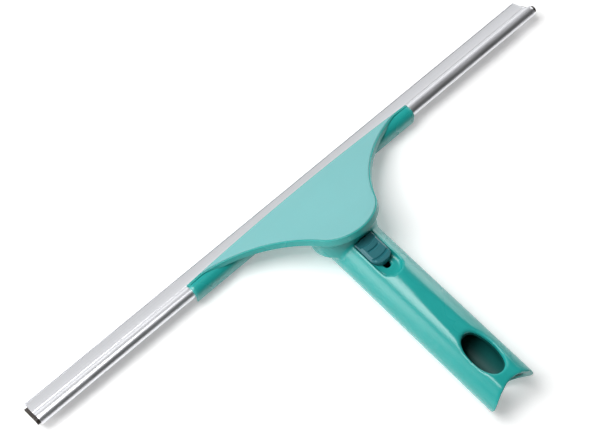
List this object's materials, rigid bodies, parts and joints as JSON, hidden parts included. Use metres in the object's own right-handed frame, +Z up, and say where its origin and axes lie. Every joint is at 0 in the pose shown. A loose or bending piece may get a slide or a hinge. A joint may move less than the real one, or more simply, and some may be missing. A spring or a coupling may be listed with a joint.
{
  "type": "window squeegee",
  "caption": "Window cleaning squeegee: rubber blade in an aluminium rail on a swivelling moulded head, with a hollow handle, a pole socket and a sliding lock button.",
  "frame": {"origin": "middle of the footprint, on the surface that the tool lies on", "axes": "+X along the rail, +Y from the handle's mouth towards the blade, +Z up with the tool lying at rest"},
  "size_m": [0.404, 0.184, 0.0452],
  "materials": {
    "teal_plastic": "injection moulded, satin gloss",
    "pale_plastic": "injection moulded, satin",
    "deep_teal_plastic": "fine moulded texture",
    "rail_alloy": "extruded, clear anodised",
    "blade_rubber": "smooth natural rubber",
    "hardware_steel": "zinc plated",
    "acetal": "natural acetal",
    "bush_brass": "turned"
  },
  "bodies": {
    "handle": {"handle": "teal_plastic", "pole_sleeve": "deep_teal_plastic", "pivot_bush": "bush_brass", "wear_ring": "acetal", "lock_finger": "hardware_steel", "finger_rivet": "hardware_steel"},
    "head": {"rail_holder": "teal_plastic", "head_cover": "pale_plastic", "rail": "rail_alloy", "blade": "blade_rubber", "rail_screws": "hardware_steel", "index_ring": "acetal", "index_screws": "hardware_steel", "stop_pin": "hardware_steel", "pivot_bolt": "hardware_steel", "pivot_washer": "hardware_steel", "pivot_nut": "hardware_steel"},
    "lock": {"lock_button": "deep_teal_plastic", "button_clip": "acetal", "button_screw": "hardware_steel"}
  },
  "joints": [
    {"name": "head_swivel", "type": "hinge", "parent": "handle", "child": "head", "pos_m": [0, 0.04843, 0.02551], "axis": [0, 0.4695, 0.8829], "range_deg": [-90, 90], "deforming": ["lock_finger"]},
    {"name": "lock_slide", "type": "slide", "parent": "handle", "child": "lock", "axis": [0, -1, 0], "range_m": [0, 0.009]}
  ]
}
